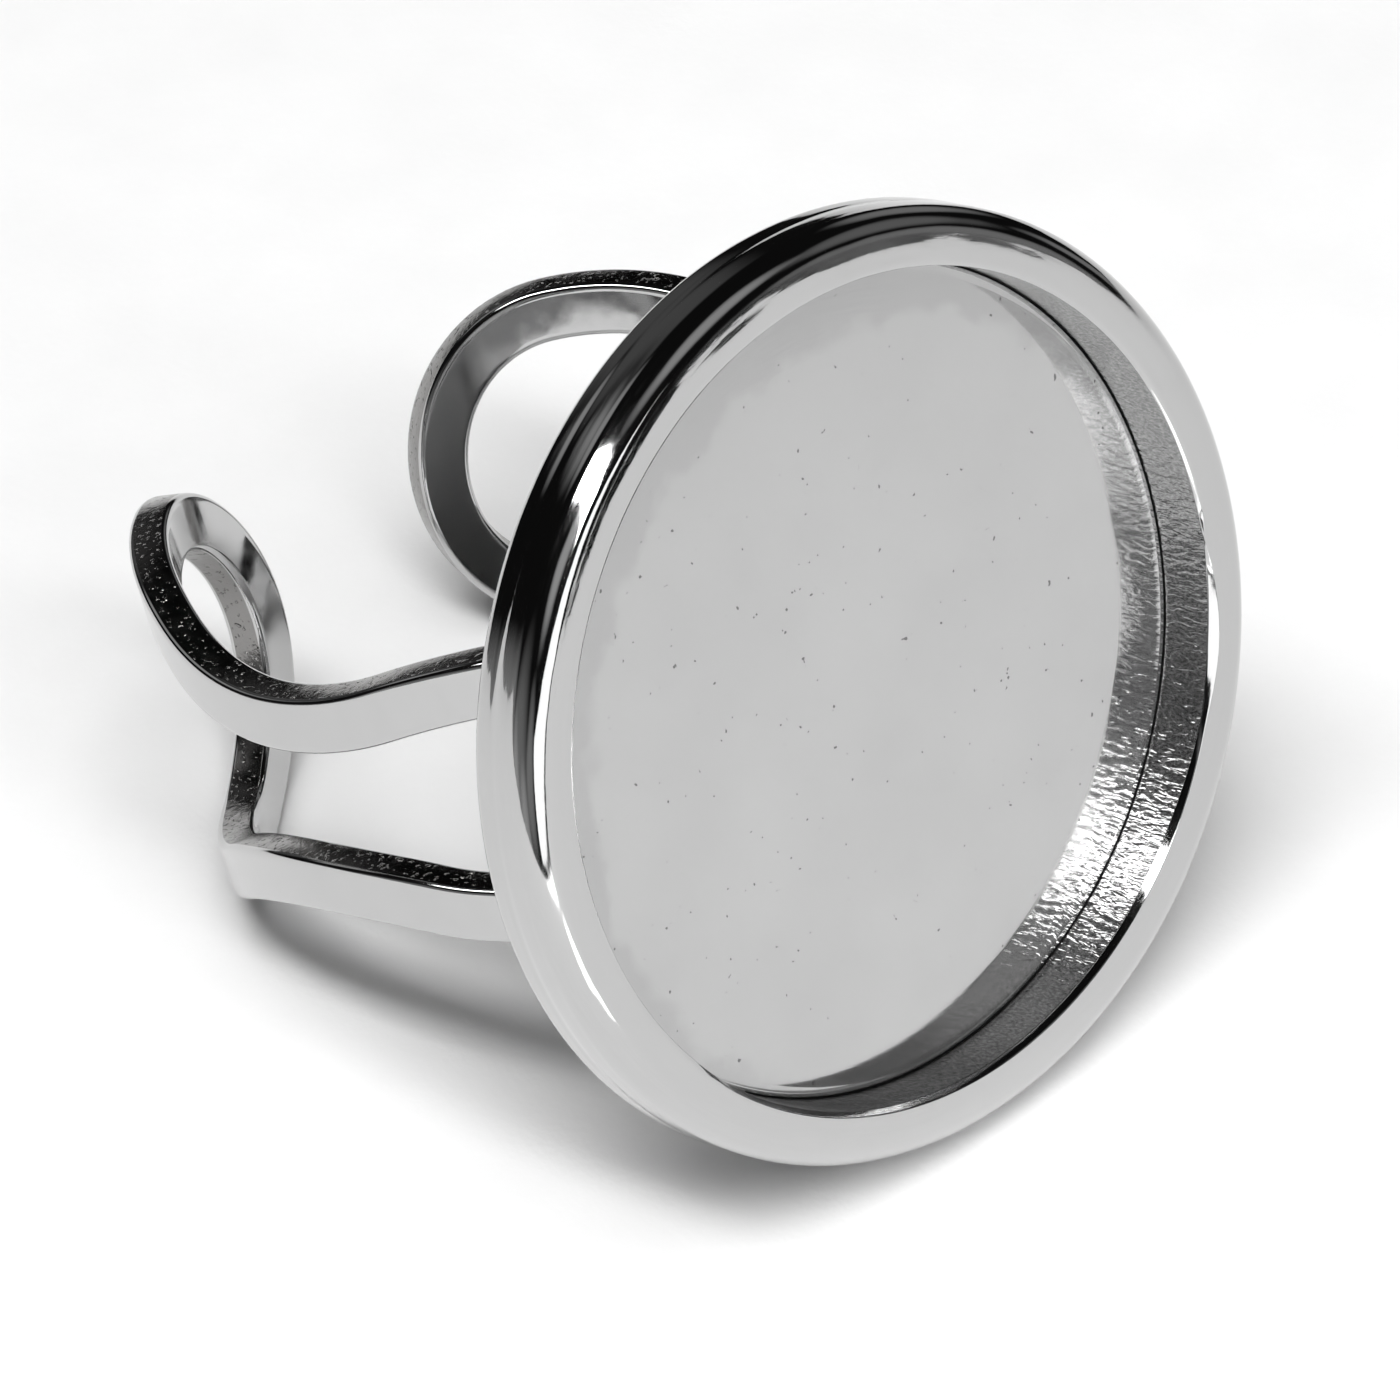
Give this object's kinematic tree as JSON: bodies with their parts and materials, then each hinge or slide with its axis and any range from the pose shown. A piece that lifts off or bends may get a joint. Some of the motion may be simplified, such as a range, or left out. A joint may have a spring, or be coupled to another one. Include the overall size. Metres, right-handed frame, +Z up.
{
  "type": "ring blank",
  "caption": "Adjustable finger-ring blank: a shallow round bezel tray for a glued cabochon, welded on an open hoop made from one looped flat strip of polished steel.",
  "frame": {"origin": "on the surface that the ring lies on, under the middle of the ring's box", "axes": "+Z up; +Y from the bezel tray towards the finger gap, along the ring's longest extent; +X across the tray. The ring lies on its side, and its finger axis leans 20.4 degrees from +Z towards +Y"},
  "size_m": [0.0229, 0.0248, 0.0219],
  "materials": {
    "steel": "polished, with a satin floor in the tray and darker sheared edges on the strip"
  },
  "bodies": {
    "root": {"ring_blank": "steel"}
  },
  "joints": []
}
